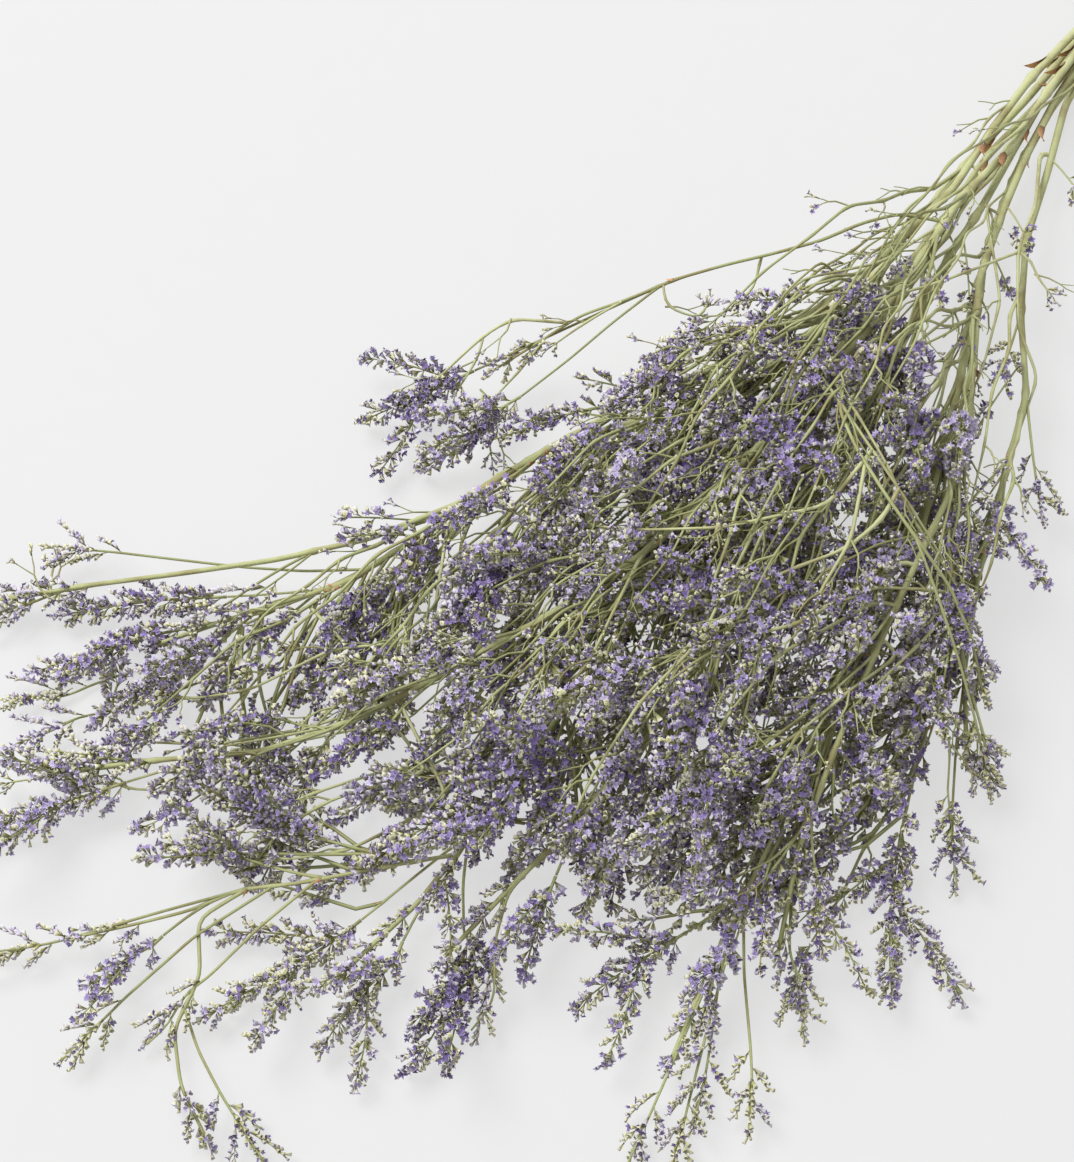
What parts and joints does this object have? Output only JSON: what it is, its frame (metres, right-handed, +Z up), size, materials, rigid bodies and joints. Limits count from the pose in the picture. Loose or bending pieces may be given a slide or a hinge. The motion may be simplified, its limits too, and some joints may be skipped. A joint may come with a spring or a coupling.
{
  "type": "bunch of dried statice",
  "caption": "Lying bunch of dried sea-lavender statice: forked olive stems held by one tie, spreading into a fan of small violet flower sprays.",
  "frame": {"origin": "middle of the flat underside of the tie, on the surface that the bunch lies on", "axes": "+Y along the stems towards their cut ends, the flowers spread out towards -Y, +Z up from the surface"},
  "size_m": [0.4303, 0.796, 0.0967],
  "materials": {
    "dried_stem": "matte",
    "dried_flower": "matte",
    "tie_cord": "matte"
  },
  "bodies": {
    "root": {"stem_a": "dried_stem", "stem_b": "dried_stem", "stem_c": "dried_stem", "stem_d": "dried_stem", "stem_e": "dried_stem", "stem_f": "dried_stem", "stem_g": "dried_stem", "stem_h": "dried_stem", "tie": "tie_cord", "head_01": "dried_flower", "head_02": "dried_flower", "head_03": "dried_flower", "head_04": "dried_flower", "head_05": "dried_flower", "head_06": "dried_flower", "head_07": "dried_flower", "head_08": "dried_flower", "head_09": "dried_flower", "head_10": "dried_flower", "head_11": "dried_flower", "head_12": "dried_flower", "head_13": "dried_flower", "head_14": "dried_flower", "head_15": "dried_flower", "head_16": "dried_flower", "head_17": "dried_flower", "head_18": "dried_flower", "head_19": "dried_flower", "head_20": "dried_flower", "head_21": "dried_flower", "head_22": "dried_flower", "head_23": "dried_flower", "head_24": "dried_flower", "head_25": "dried_flower", "head_26": "dried_flower", "head_27": "dried_flower", "head_28": "dried_flower", "head_29": "dried_flower", "head_30": "dried_flower", "head_31": "dried_flower", "head_32": "dried_flower", "head_33": "dried_flower", "head_34": "dried_flower", "head_35": "dried_flower", "head_36": "dried_flower", "head_37": "dried_flower", "head_38": "dried_flower", "head_39": "dried_flower", "head_40": "dried_flower", "head_41": "dried_flower", "head_42": "dried_flower", "head_43": "dried_flower", "head_44": "dried_flower", "head_45": "dried_flower", "head_46": "dried_flower", "head_47": "dried_flower", "head_48": "dried_flower", "head_49": "dried_flower", "head_50": "dried_flower", "head_51": "dried_flower"}
  },
  "joints": []
}
